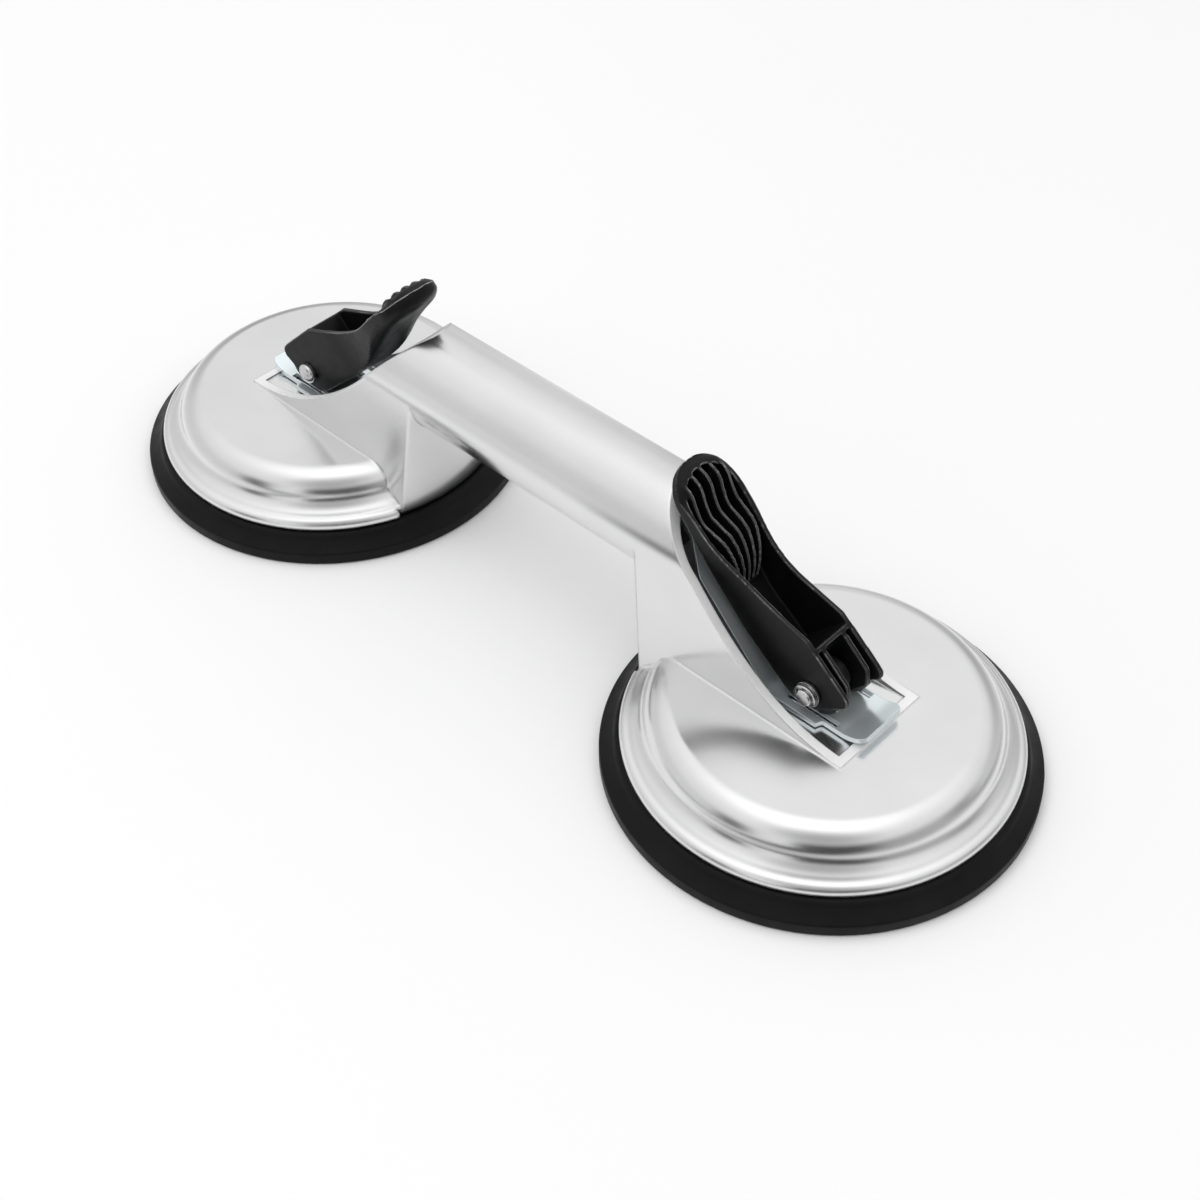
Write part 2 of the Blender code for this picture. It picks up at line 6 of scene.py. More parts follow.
import bmesh
import bpy
from mathutils import Matrix, Vector
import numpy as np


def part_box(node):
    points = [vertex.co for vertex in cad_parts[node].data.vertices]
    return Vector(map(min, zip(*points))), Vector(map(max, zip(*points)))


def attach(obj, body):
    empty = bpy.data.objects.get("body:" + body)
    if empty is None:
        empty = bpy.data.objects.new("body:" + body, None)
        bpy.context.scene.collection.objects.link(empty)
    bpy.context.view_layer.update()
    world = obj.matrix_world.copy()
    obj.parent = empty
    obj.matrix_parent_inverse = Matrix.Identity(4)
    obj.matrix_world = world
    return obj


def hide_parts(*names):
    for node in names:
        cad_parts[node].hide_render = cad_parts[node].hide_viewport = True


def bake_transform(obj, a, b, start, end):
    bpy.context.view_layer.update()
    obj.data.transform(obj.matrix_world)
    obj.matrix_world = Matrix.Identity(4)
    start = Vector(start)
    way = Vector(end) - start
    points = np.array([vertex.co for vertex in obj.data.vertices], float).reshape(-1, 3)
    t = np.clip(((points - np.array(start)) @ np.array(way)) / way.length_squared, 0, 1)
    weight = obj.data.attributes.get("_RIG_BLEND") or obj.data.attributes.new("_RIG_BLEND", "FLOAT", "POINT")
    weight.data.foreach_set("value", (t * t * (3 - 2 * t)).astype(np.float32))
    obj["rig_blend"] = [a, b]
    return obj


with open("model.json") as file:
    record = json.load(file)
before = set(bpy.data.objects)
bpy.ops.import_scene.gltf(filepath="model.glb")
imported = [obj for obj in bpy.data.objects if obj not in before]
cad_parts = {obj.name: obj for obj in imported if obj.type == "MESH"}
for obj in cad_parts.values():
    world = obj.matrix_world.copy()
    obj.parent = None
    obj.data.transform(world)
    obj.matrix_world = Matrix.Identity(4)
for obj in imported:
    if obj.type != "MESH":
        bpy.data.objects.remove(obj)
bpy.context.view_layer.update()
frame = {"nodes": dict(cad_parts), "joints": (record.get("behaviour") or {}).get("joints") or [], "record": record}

MM = 0.001
SIDES = {"right": 1, "left": -1}
FINE = 192

# Sizes taken from the frame
pad_low, pad_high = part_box("rubber_pad_right")
lever_joint = [j for j in frame["joints"] if j["name"] == "lever_turn_right"][0]
CUP_X, PIN_Z = lever_joint["pos_m"][0], lever_joint["pos_m"][2]
PAD_R = (pad_high[1] - pad_low[1]) / 2

# Casting
DISH_TOP_Z, DISH_FLAT_R, SHOULDER_R, WALL = 22.8 * MM, 40.0 * MM, 8.3 * MM, 2.5 * MM
DISH_RIM_R, DISH_RIM_Z = 54.6 * MM, 8.7 * MM
TUBE_R, TUBE_Z, TUBE_WALL = 14.85 * MM, 52.75 * MM, 2.6 * MM
TUBE_END_X, BORE_END_X, STUD_HOLE_R = 110 * MM, 62 * MM, 3.6 * MM
NECK_FOOT_Y, NECK_FOOT_Z = 17.7 * MM, 9.2 * MM
NECK_IN_X, NECK_OUT_X, OPENING_HALF = 38 * MM, 116.8 * MM, 25 * MM
NECK_END_R, NECK_END_DRAFT, RIM_CUT_Y = 52.4 * MM, 0.095, 19.2 * MM
# The third look goes on the faces of the hollows: unpolished cast metal, painted darker as shade inside them.
POLISHED, SANDED, RAW_PAINTED_SHADE = 0, 1, 2

# Lever, in its own frame of u (towards the tip), y and v (away from the tube)
LEVER_REST = {1: 42.0, -1: 47.0}
CAM_RISE, CAM_LOW, CAM_START, CAM_TURN = 2.5 * MM, 5.95 * MM, 225.0, 135.0
LEVER_HALF, LEVER_WALL = 7.8 * MM, 1.4 * MM
PADDLE_HALF, PADDLE_U = 10.1 * MM, 57.6 * MM
WEB_U = (8.9 * MM, 10.2 * MM)
RIBS, RIB_PITCH, RIB_HALF = 5, 3.45 * MM, 0.42 * MM
PIN_R = 2.5 * MM

# Wear plate
WEAR_TOP_Z, WEAR_T = 24.7 * MM, 1.5 * MM

# Studio: brightness of the tent's foot by compass direction, in degrees from X
TENT_FOOT = (
    (-150, 0.75), (-128, 0.74), (-112, 0.70), (-104, 0.15), (-94, 0.12), (-84, 0.85),
    (-68, 0.92), (-60, 0.08), (-28, 0.06), (-14, 0.42), (15, 0.5), (30, 0.35),
    (50, 0.7), (100, 0.45), (125, 0.80), (150, 0.40),
)


# ---------------------------------------------------------------- curves
def arc(cx, cy, r, start, end, count):
    """Points on an arc, angles in degrees."""
    steps = [radians(start + (end - start) * i / count) for i in range(count + 1)]
    return [(cx + r * cos(t), cy + r * sin(t)) for t in steps]


def bezier(a, b, c, d, count):
    """Points on a cubic curve from a to d with handles b and c."""
    points = []
    for i in range(count + 1):
        t = i / count
        w = ((1 - t) ** 3, 3 * t * (1 - t) ** 2, 3 * t * t * (1 - t), t ** 3)
        points.append(tuple(sum(k * p[n] for k, p in zip(w, (a, b, c, d))) for n in (0, 1)))
    return points


def progress(value, start, span):
    """How far a value has come over a span, from 0 to 1."""
    return min(max((value - start) / span, 0.0), 1.0)


def eased(t):
    """A share from 0 to 1 with soft ends."""
    return t * t * (3 - 2 * t)


def through(knots, value):
    """Height of the smooth curve that passes through the knots, at a value of the first number."""
    last = len(knots) - 1
    k = max(i for i in range(last) if i == 0 or knots[i][0] <= value)
    a, b = knots[k], knots[k + 1]
    before, after = knots[max(k - 1, 0)], knots[min(k + 2, last)]
    span = b[0] - a[0]
    t = progress(value, a[0], span)
    leave = (b[1] - before[1]) / max(b[0] - before[0], 1e-9) * span
    arrive = (after[1] - a[1]) / max(after[0] - a[0], 1e-9) * span
    h = (2 * t ** 3 - 3 * t * t + 1, t ** 3 - 2 * t * t + t, 3 * t * t - 2 * t ** 3, t ** 3 - t * t)
    return h[0] * a[1] + h[1] * leave + h[2] * b[1] + h[3] * arrive


def mm(points):
    """Points given in millimetres."""
    return [(a * MM, b * MM) for a, b in points]


def mirrored(points, side):
    """Points of the right half, or their mirror image on the left."""
    return [(side * a, b) for a, b in points]


# ---------------------------------------------------------------- meshes
def from_form(name, form):
    """An object made of a finished bmesh."""
    bmesh.ops.recalc_face_normals(form, faces=form.faces)
    mesh = bpy.data.meshes.new(name)
    form.to_mesh(mesh)
    form.free()
    for look in CASTING_LOOKS:
        mesh.materials.append(look)
    obj = bpy.data.objects.new(name, mesh)
    bpy.context.scene.collection.objects.link(obj)
    return obj


def skin(form, rings):
    """Join a row of equal rings with quads and close both ends."""
    form.faces.new(rings[0])
    form.faces.new(rings[-1][::-1])
    for a, b in zip(rings, rings[1:]):
        for i in range(len(a)):
            j = (i + 1) % len(a)
            form.faces.new((a[i], a[j], b[j], b[i]))


def lathe(name, profile, x=0.0, steps=FINE):
    """A turned piece about a vertical axis at x. The (r, z) profile starts and ends on the axis."""
    form = bmesh.new()
    rings = []
    for r, z in profile:
        count = 1 if r < 1e-7 else steps
        turns = [2 * pi * i / steps for i in range(count)]
        rings.append([form.verts.new((x + r * cos(t), r * sin(t), z)) for t in turns])
    for upper, lower in zip(rings, rings[1:]):
        for i in range(steps):
            j = (i + 1) % steps
            corners = []
            for ring, k in ((upper, i), (upper, j), (lower, j), (lower, i)):
                vert = ring[k % len(ring)]
                if vert not in corners:
                    corners.append(vert)
            form.faces.new(corners)
    return from_form(name, form)


def prism(name, outline, low, high, plane):
    """A flat outline given thickness. plane XZ runs along Y, YZ along X and XY along Z."""
    place = {
        "XY": lambda a, b, t: (a, b, t),
        "XZ": lambda a, b, t: (a, t, b),
        "YZ": lambda a, b, t: (t, a, b),
    }[plane]
    form = bmesh.new()
    floor = [form.verts.new(place(a, b, low)) for a, b in outline]
    roof = [form.verts.new(place(a, b, high)) for a, b in outline]
    skin(form, [floor, roof])
    return from_form(name, form)


def block(name, low, high):
    """A box between two corners."""
    corners = [(low[0], low[1]), (high[0], low[1]), (high[0], high[1]), (low[0], high[1])]
    return prism(name, corners, low[2], high[2], "XY")


def rod(name, r, low, high, axis, centre, steps=64):
    """A cylinder along X, Y or Z; centre is its place on the other two axes."""
    plane = {"X": "YZ", "Y": "XZ", "Z": "XY"}[axis]
    return prism(name, arc(*centre, r, 0, 360, steps)[:-1], low, high, plane)


def apply_modifiers(obj):
    """Keep the mesh that the modifiers give."""
    graph = bpy.context.evaluated_depsgraph_get()
    mesh = bpy.data.meshes.new_from_object(obj.evaluated_get(graph))
    obj.modifiers.clear()
    obj.data = mesh


def carve(obj, tool, how="DIFFERENCE"):
    """Combine obj with a tool, which is used up."""
    step = obj.modifiers.new("carve", "BOOLEAN")
    step.operation = how
    step.object = tool
    step.solver = "MANIFOLD"
    bpy.context.view_layer.update()
    apply_modifiers(obj)
    bpy.data.objects.remove(tool, do_unlink=True)


def tidy(obj, flat=None):
    """Merge the slivers that cutting leaves and, where a flat angle is given, the flat faces."""
    sliver = 0.004 * MM
    form = bmesh.new()
    form.from_mesh(obj.data)
    bmesh.ops.remove_doubles(form, verts=form.verts, dist=sliver)
    bmesh.ops.dissolve_degenerate(form, edges=form.edges, dist=sliver)
    if flat:
        bmesh.ops.dissolve_limit(
            form, angle_limit=radians(flat), verts=form.verts, edges=form.edges, delimit={"MATERIAL"}
        )
    form.to_mesh(obj.data)
    form.free()


def round_edges(obj, width, segments=3):
    """Real rounded edges on a sharp-edged piece, shaded smoothly."""
    step = obj.modifiers.new("bevel", "BEVEL")
    step.width = width
    step.segments = segments
    step.limit_method = "ANGLE"
    step.angle_limit = radians(40.0)
    step.use_clamp_overlap = True
    shade(obj, 60.0)


def shade(obj, angle):
    """Smooth shading up to an angle, with large flat faces kept flat."""
    apply_modifiers(obj)
    obj.data.polygons.foreach_set("use_smooth", [True] * len(obj.data.polygons))
    obj.data.set_sharp_from_angle(angle=radians(angle))
    weigh = obj.modifiers.new("weigh", "WEIGHTED_NORMAL")
    weigh.keep_sharp = True
    weigh.weight = 60
    apply_modifiers(obj)


def finish(obj, body, slot, nodes):
    """Put a finished piece on its body, in place of the CAD nodes it stands for."""
    if slot != "polished_aluminium":
        obj.data.materials.clear()
        obj.data.materials.append(LOOKS[slot])
    if body:
        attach(obj, body)
    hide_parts(*nodes)


# ---------------------------------------------------------------- materials
def new_material(name, colour, roughness, metallic=0.0, specular=0.5):
    """A Principled material and its node tree."""
    mat = bpy.data.materials.new(name)
    mat.use_nodes = True
    tree = mat.node_tree
    shader = tree.nodes["Principled BSDF"]
    shader.inputs["Base Color"].default_value = (*colour, 1.0)
    shader.inputs["Roughness"].default_value = roughness
    shader.inputs["Metallic"].default_value = metallic
    shader.inputs["Specular IOR Level"].default_value = specular
    return mat, tree, shader


def noise(tree, scale, detail=3.0, stretch=(1.0, 1.0, 1.0)):
    """Noise in object space, in features per metre; stretch squeezes it along an axis."""
    place = tree.nodes.new("ShaderNodeTexCoord")
    mapping = tree.nodes.new("ShaderNodeMapping")
    mapping.inputs["Scale"].default_value = stretch
    texture = tree.nodes.new("ShaderNodeTexNoise")
    texture.inputs["Scale"].default_value = scale
    texture.inputs["Detail"].default_value = detail
    tree.links.new(place.outputs["Object"], mapping.inputs["Vector"])
    tree.links.new(mapping.outputs["Vector"], texture.inputs["Vector"])
    return texture.outputs["Fac"]


def spread(tree, value, low, high, start=0.3, end=0.7):
    """Map a value between start and end on to low to high."""
    node = tree.nodes.new("ShaderNodeMapRange")
    node.inputs["From Min"].default_value = start
    node.inputs["From Max"].default_value = end
    node.inputs["To Min"].default_value = low
    node.inputs["To Max"].default_value = high
    tree.links.new(value, node.inputs["Value"])
    return node.outputs["Result"]


def tint(tree, value, dark, light, start=0.3, end=0.7):
    """A colour between dark and light."""
    node = tree.nodes.new("ShaderNodeValToRGB")
    node.color_ramp.elements[0].position = start
    node.color_ramp.elements[0].color = (*dark, 1.0)
    node.color_ramp.elements[1].position = end
    node.color_ramp.elements[1].color = (*light, 1.0)
    tree.links.new(value, node.inputs["Fac"])
    return node.outputs["Color"]


def surface(tree, shader, value, strength, distance, edge=0.0):
    """Bump from a height, over edges that are softened by a bevel radius."""
    node = tree.nodes.new("ShaderNodeBump")
    node.inputs["Strength"].default_value = strength
    node.inputs["Distance"].default_value = distance
    tree.links.new(value, node.inputs["Height"])
    if edge:
        soft = tree.nodes.new("ShaderNodeBevel")
        soft.samples = 6
        soft.inputs["Radius"].default_value = edge
        tree.links.new(soft.outputs["Normal"], node.inputs["Normal"])
    tree.links.new(node.outputs["Normal"], shader.inputs["Normal"])


def arithmetic(tree, how, a, b):
    """A Math node; a and b are sockets or numbers."""
    node = tree.nodes.new("ShaderNodeMath")
    node.operation = how
    for socket, value in zip(node.inputs, (a, b)):
        if isinstance(value, (int, float)):
            socket.default_value = value
        else:
            tree.links.new(value, socket)
    return node.outputs["Value"]


def mixed(tree, factor, a, b):
    """A colour between a and b; each is a socket or a colour."""
    node = tree.nodes.new("ShaderNodeMix")
    node.data_type = "RGBA"
    tree.links.new(factor, node.inputs["Factor"])
    for name, value in (("A", a), ("B", b)):
        if isinstance(value, tuple):
            node.inputs[name].default_value = (*value, 1.0)
        else:
            tree.links.new(value, node.inputs[name])
    return node.outputs["Result"]


def edge_wear_and_highlight(tree, shader, plain, light, radius):
    """Base colour that turns lighter along convex edges: partly wear, where handling polishes the surface, and
    partly a painted highlight, where the edges would catch the light.
    """
    form = tree.nodes.new("ShaderNodeNewGeometry")
    soft = tree.nodes.new("ShaderNodeBevel")
    soft.samples = 8
    soft.inputs["Radius"].default_value = radius
    dot = tree.nodes.new("ShaderNodeVectorMath")
    dot.operation = "DOT_PRODUCT"
    tree.links.new(soft.outputs["Normal"], dot.inputs[0])
    tree.links.new(form.outputs["Normal"], dot.inputs[1])
    turned = spread(tree, dot.outputs["Value"], 1.0, 0.0, 0.95, 0.998)
    convex = spread(tree, form.outputs["Pointiness"], 0.0, 1.0, 0.51, 0.53)
    edge = arithmetic(tree, "MULTIPLY", turned, convex)
    tree.links.new(mixed(tree, edge, plain, light), shader.inputs["Base Color"])


def make_aluminium():
    mat, tree, shader = new_material("polished_aluminium", (0.79, 0.79, 0.80), 0.24, 1.0)
    cloud = noise(tree, 45.0, 4.0)
    colour = tint(tree, cloud, (0.77, 0.77, 0.775), (0.81, 0.81, 0.815))
    tree.links.new(colour, shader.inputs["Base Color"])
    streak = noise(tree, 60.0, 2.0, (0.3, 1.0, 1.0))
    tree.links.new(spread(tree, streak, 0.19, 0.225), shader.inputs["Roughness"])
    surface(tree, shader, noise(tree, 38.0, 2.0), 0.12, 0.0008, edge=1.3 * MM)
    return mat


def make_sanded():
    """The edges of the lever openings: sanded, so paler and duller than the polished outside."""
    mat, tree, shader = new_material("sanded_aluminium", (0.92, 0.92, 0.92), 0.5, 0.35, 0.4)
    colour = tint(tree, noise(tree, 90.0, 4.0), (0.89, 0.89, 0.89), (0.95, 0.95, 0.95))
    tree.links.new(colour, shader.inputs["Base Color"])
    tree.links.new(spread(tree, noise(tree, 400.0), 0.40, 0.55), shader.inputs["Roughness"])
    surface(tree, shader, noise(tree, 600.0, 2.0), 0.12, 0.0002, edge=0.4 * MM)
    return mat


def make_cast():
    """The casting's unpolished insides: dull grey, painted darker still as shade inside the hollows."""
    mat, tree, shader = new_material("raw_cast_aluminium_painted_shade", (0.42, 0.42, 0.43), 0.5, 0.7, 0.4)
    colour = tint(tree, noise(tree, 120.0, 4.0), (0.36, 0.36, 0.365), (0.48, 0.48, 0.485))
    tree.links.new(colour, shader.inputs["Base Color"])
    tree.links.new(spread(tree, noise(tree, 400.0), 0.42, 0.60), shader.inputs["Roughness"])
    surface(tree, shader, noise(tree, 700.0, 3.0), 0.2, 0.0003)
    return mat


def make_zinc():
    mat, tree, shader = new_material("zinc_plate", (0.84, 0.90, 0.92), 0.2, 0.72, 0.6)
    cloud = noise(tree, 60.0, 2.0)
    colour = tint(tree, cloud, (0.80, 0.875, 0.90), (0.86, 0.92, 0.935))
    tree.links.new(colour, shader.inputs["Base Color"])
    tree.links.new(spread(tree, noise(tree, 80.0, 1.0), 0.17, 0.23), shader.inputs["Roughness"])
    surface(tree, shader, noise(tree, 90.0, 1.0), 0.05, 0.0002, edge=0.3 * MM)
    return mat


def make_steel():
    mat, tree, shader = new_material("bright_steel", (0.7, 0.7, 0.7), 0.22, 1.0)
    colour = tint(tree, noise(tree, 300.0), (0.62, 0.62, 0.63), (0.80, 0.80, 0.80))
    tree.links.new(colour, shader.inputs["Base Color"])
    tree.links.new(spread(tree, noise(tree, 700.0), 0.14, 0.28), shader.inputs["Roughness"])
    surface(tree, shader, noise(tree, 900.0, 2.0), 0.08, 0.0001, edge=0.2 * MM)
    return mat


def make_black_steel():
    mat, tree, shader = new_material("blackened_steel", (0.03, 0.03, 0.032), 0.4, 0.6)
    colour = tint(tree, noise(tree, 300.0), (0.018, 0.018, 0.019), (0.045, 0.045, 0.047))
    tree.links.new(colour, shader.inputs["Base Color"])
    tree.links.new(spread(tree, noise(tree, 700.0), 0.32, 0.5), shader.inputs["Roughness"])
    surface(tree, shader, noise(tree, 900.0, 2.0), 0.1, 0.0001, edge=0.2 * MM)
    return mat


def make_plastic():
    mat, tree, shader = new_material("black_plastic", (0.007, 0.007, 0.008), 0.34, specular=0.16)
    plain = tint(tree, noise(tree, 90.0), (0.004, 0.004, 0.0045), (0.008, 0.008, 0.0085))
    # The lever's convex edges turn light grey: a painted highlight along them, with a little wear.
    edge_wear_and_highlight(tree, shader, plain, (0.5, 0.5, 0.502), 0.7 * MM)
    tree.links.new(spread(tree, noise(tree, 260.0), 0.28, 0.40), shader.inputs["Roughness"])
    surface(tree, shader, noise(tree, 1400.0, 2.0), 0.10, 0.0001)
    return mat


def make_rubber():
    mat, tree, shader = new_material("black_rubber", (0.006, 0.006, 0.0065), 0.42, specular=0.13)
    plain = tint(tree, noise(tree, 60.0), (0.004, 0.004, 0.0045), (0.007, 0.007, 0.0075))
    # The pad's convex edges turn a faint grey: wear, and a painted highlight along them.
    edge_wear_and_highlight(tree, shader, plain, (0.05, 0.05, 0.051), 0.5 * MM)
    tree.links.new(spread(tree, noise(tree, 200.0), 0.36, 0.50), shader.inputs["Roughness"])
    surface(tree, shader, noise(tree, 900.0, 2.0), 0.08, 0.00012)
    return mat


LOOKS = {
    "polished_aluminium": make_aluminium(),
    "zinc_plate": make_zinc(),
    "bright_steel": make_steel(),
    "blackened_steel": make_black_steel(),
    "black_plastic": make_plastic(),
    "black_rubber": make_rubber(),
}
CASTING_LOOKS = (LOOKS["polished_aluminium"], make_sanded(), make_cast())


def dress_nodes():
    """Give each CAD node the material of its slot in the record."""
    for part in frame["record"]["subparts"]:
        node = frame["nodes"][part["node"]]
        for slot in node.material_slots:
            slot.material = LOOKS[part["material_slot"]]


# ---------------------------------------------------------------- casting
def dish_outside():
    """Outer profile of a cast dish: faintly crowned top, round shoulder, sloping band and rim bead."""
    crown, crown_r = 0.12 * MM, 36
    top = [(r * MM, DISH_TOP_Z - crown * (r / crown_r) ** 3) for r in range(0, crown_r + 1, 4)]
    shoulder = arc(DISH_FLAT_R, DISH_TOP_Z - SHOULDER_R, SHOULDER_R, 88, 14, 26)
    r, z = shoulder[-1]
    band = ((r + 0.45 * MM, z - 1.7 * MM), (49.9 * MM, 13.6 * MM), (51.5 * MM, 12.75 * MM))
    hollow = bezier((r, z), *band, 10)
    bead = arc(52.3 * MM, 9.8 * MM, 2.3 * MM, 92, -2, 14)
    foot = [(DISH_RIM_R - 0.05 * MM, DISH_RIM_Z + 0.3 * MM), (DISH_RIM_R - 0.35 * MM, DISH_RIM_Z)]
    return top + shoulder[1:] + hollow[1:] + bead + foot


def dish_inside():
    """Inner profile of the dish, from its middle out and down past the rim."""
    turn_r = 6.8 * MM
    top = arc(38.2 * MM, DISH_TOP_Z - WALL - turn_r, turn_r, 90, 5, 10)
    band = mm([(46.0, 12.2), (50.4, 10.0), (51.6, 7.5)])
    return [(0.0, DISH_TOP_Z - WALL)] + top + band + [(0.0, 7.5 * MM)]


def arch(shrink):
    """Section of a neck across the handle: straight sides leaning in to a round top."""
    r = TUBE_R - 0.02 * MM - shrink
    lean = degrees(atan2(NECK_FOOT_Y - TUBE_R, TUBE_Z - NECK_FOOT_Z))
    foot = NECK_FOOT_Y - shrink
    top = arc(0.0, TUBE_Z, r, -lean, 180 + lean, 60)
    return [(foot, NECK_FOOT_Z)] + top + [(-foot, NECK_FOOT_Z)]


def opening_outline():
    """Side view of what the lever's opening takes off the neck, above one concave curve."""
    edge = bezier(*mm([(44.0, 68.2), (57.0, 66.0), (77.0, 22.7), (117.0, 23.3)]), 60)
    return edge + mm([(122.0, 23.3), (122.0, 74.0), (44.0, 74.0)])


def drum(name, r, side):
    """Upright cone about a cup's centre that the neck's inner end follows, wider at the top."""
    height = 80 * MM
    top_r = r + NECK_END_DRAFT * height
    return lathe(name, [(0.0, height), (top_r, height), (r, 0.0), (0.0, 0.0)], side * CUP_X)


def with_look(tool, index):
    """A cutting tool that leaves one of the casting's looks on the faces it makes."""
    tool.data.polygons.foreach_set("material_index", [index] * len(tool.data.polygons))
    return tool


def make_casting():
    """The one-piece casting: two dishes, two hollow necks and the tubular handle between them."""
    dish = dish_outside() + [(0.0, DISH_RIM_Z)]
    body = lathe("casting", dish, CUP_X)
    carve(body, lathe("twin", dish, -CUP_X), "UNION")
    for side in SIDES.values():
        ends = sorted((side * NECK_IN_X, side * 52 * MM))
        gap = block("rim_end", (ends[0], -RIM_CUT_Y, 5 * MM), (ends[1], RIM_CUT_Y, 15 * MM))
        carve(gap, drum("rim_core", NECK_END_R - 0.3 * MM, side))
        carve(body, gap)
    hollows = []
    for side in SIDES.values():
        neck = prism("neck", arch(0.0), *sorted((side * NECK_IN_X, side * NECK_OUT_X)), "YZ")
        carve(neck, drum("neck_end", NECK_END_R, side), "INTERSECT")
        carve(body, neck, "UNION")
        reach = sorted((side * (NECK_IN_X - 2 * MM), side * (NECK_OUT_X - TUBE_WALL)))
        inside = prism("neck_inside", arch(TUBE_WALL), *reach, "YZ")
        carve(inside, drum("inside_end", NECK_END_R - TUBE_WALL, side), "INTERSECT")
        floor = lathe("floor", dish_outside() + [(0.0, 5 * MM)], side * CUP_X)
        carve(with_look(inside, RAW_PAINTED_SHADE), with_look(floor, POLISHED))
        outline = mirrored(opening_outline(), side)
        opening = prism("opening", outline, -OPENING_HALF, OPENING_HALF, "XZ")
        stud_hole = rod("stud_hole", STUD_HOLE_R, 10 * MM, 30 * MM, "Z", (side * CUP_X, 0.0))
        hollows.append(inside)
        hollows.append(with_look(lathe("dish_inside", dish_inside(), side * CUP_X), RAW_PAINTED_SHADE))
        hollows += [with_look(opening, SANDED), with_look(stud_hole, RAW_PAINTED_SHADE)]
    axis = (0.0, TUBE_Z)
    carve(body, rod("tube", TUBE_R, -TUBE_END_X, TUBE_END_X, "X", axis, 128), "UNION")
    bore = rod("bore", TUBE_R - TUBE_WALL, -BORE_END_X, BORE_END_X, "X", axis, 96)
    hollows.append(with_look(bore, RAW_PAINTED_SHADE))
    for hollow in hollows:
        carve(body, hollow)
    tidy(body, 0.3)
    shade(body, 32.0)
    finish(body, "housing", "polished_aluminium", ["aluminium_body"])


# ---------------------------------------------------------------- rubber pads
def make_pad(name, side):
    """Suction pad: a lipped sealing face, a thick rounded edge and a collar under the metal rim."""
    edge_z, edge_r, heel_r = 4.5 * MM, 1.0 * MM, 0.9 * MM
    back = mm([(0.0, 5.2), (24.0, 5.2), (48.5, 5.2), (50.4, 5.7), (51.2, 6.6), (51.9, 8.0)])
    collar = mm([(52.6, 8.25), (54.9, 8.25), (55.5, 7.95), (56.0, 7.2), (56.6, 6.45)])
    edge = arc(PAD_R - edge_r, edge_z - edge_r, edge_r, 62, 0, 6)
    heel = arc(PAD_R - heel_r, heel_r, heel_r, 0, -90, 5)
    lips = [(55.0, 0.0), (52.0, 0.0), (50.6, 0.35), (50.0, 0.9), (49.0, 1.0), (47.5, 0.35)]
    lips += [(46.5, 0.0), (44.0, 0.0), (42.5, 0.5)]
    hollow = mm([(41.0, 1.1), (30.0, 1.4), (0.0, 1.6)])
    profile = back + collar + edge + heel + mm(lips) + hollow
    pad = lathe("pad_" + name, profile, side * CUP_X)
    for face in pad.data.polygons:
        face.use_smooth = True
    pad.data.set_sharp_from_angle(angle=radians(50))
    centre = (side * CUP_X, 0.0, 0.0)
    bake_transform(pad, "stud_assembly_" + name, "housing", centre, (side * CUP_X, PAD_R, 0.0))
    plate_r, free_width = 37.0 * MM, 11.5 * MM
    weights = pad.data.attributes["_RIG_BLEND"].data
    for vert, weight in zip(pad.data.vertices, weights):
        r = (Vector(vert.co.xy) - Vector((side * CUP_X, 0.0))).length
        weight.value = eased(progress(r, plate_r, free_width))
    finish(pad, None, "black_rubber", ["rubber_pad_" + name])


# ---------------------------------------------------------------- lever
def lever_to_world(side):
    """Matrix from lever coordinates (u, y, v) about the pin to the object's frame."""
    t = radians(LEVER_REST[side])
    place = Matrix.Translation((side * CUP_X, 0.0, PIN_Z))
    turn = Matrix(((-cos(t), 0, sin(t), 0), (0, 1, 0, 0), (sin(t), 0, cos(t), 0), (0, 0, 0, 1)))
    if side < 0:
        turn = Matrix.Diagonal((-1, 1, 1, 1)) @ turn
    return place @ turn


def cam_point(turn, inset=0.0):
    """Point (u, v) of the cam that touches when the lever has turned by an angle from rest."""
    reach = CAM_LOW + CAM_RISE * turn - inset
    a = radians(CAM_START) - turn
    return (reach * cos(a) + CAM_RISE * sin(a), reach * sin(a) - CAM_RISE * cos(a))


def cam_outline():
    """Cam rib: the working curve, the cross web and a round heel."""
    curve = [cam_point(radians(CAM_TURN + 5.0) * i / 40) for i in range(41)]
    web = WEB_U[0] + 0.5 * MM
    heel = arc(0.0, 0.0, CAM_LOW, -65, CAM_START - 360.0, 10)
    return curve + [(web, 10.0 * MM), (web, -7.0 * MM)] + heel


def foot_outline():
    """The cam's running face as a shell, which joins each cam rib to the side wall beside it."""
    shell = 1.6 * MM
    turns = [radians(62.0) * i / 18 for i in range(19)]
    return [cam_point(turn) for turn in turns] + [cam_point(turn, shell) for turn in reversed(turns)]


def lever_side():
    """Side outline of the lever."""
    back = mm([(-6.2, 4.0), (-5.3, -2.1), (-1.4, -6.6), (2.5, -8.0)])
    under = bezier(*mm([(16, -9.0), (34, -11.0), (38, -6.2), (58, -4.8)]), 30)
    tip = arc(64.2 * MM, -1.2 * MM, 3.4 * MM, -65, 85, 14)
    rim = bezier(*mm([(61.5, 2.0), (55, 0.6), (46, -0.4), (36, 1.5)]), 16)
    wall = bezier(*mm([(33, 2.2), (26, 3.9), (20, 7.4), (13, 10.6)]), 12)
    heel = [(-3.6 * MM, 11.35 * MM)] + arc(-4.7 * MM, 8.6 * MM, 2.6 * MM, 85, 190, 10)
    return back + under + tip + rim + wall + heel


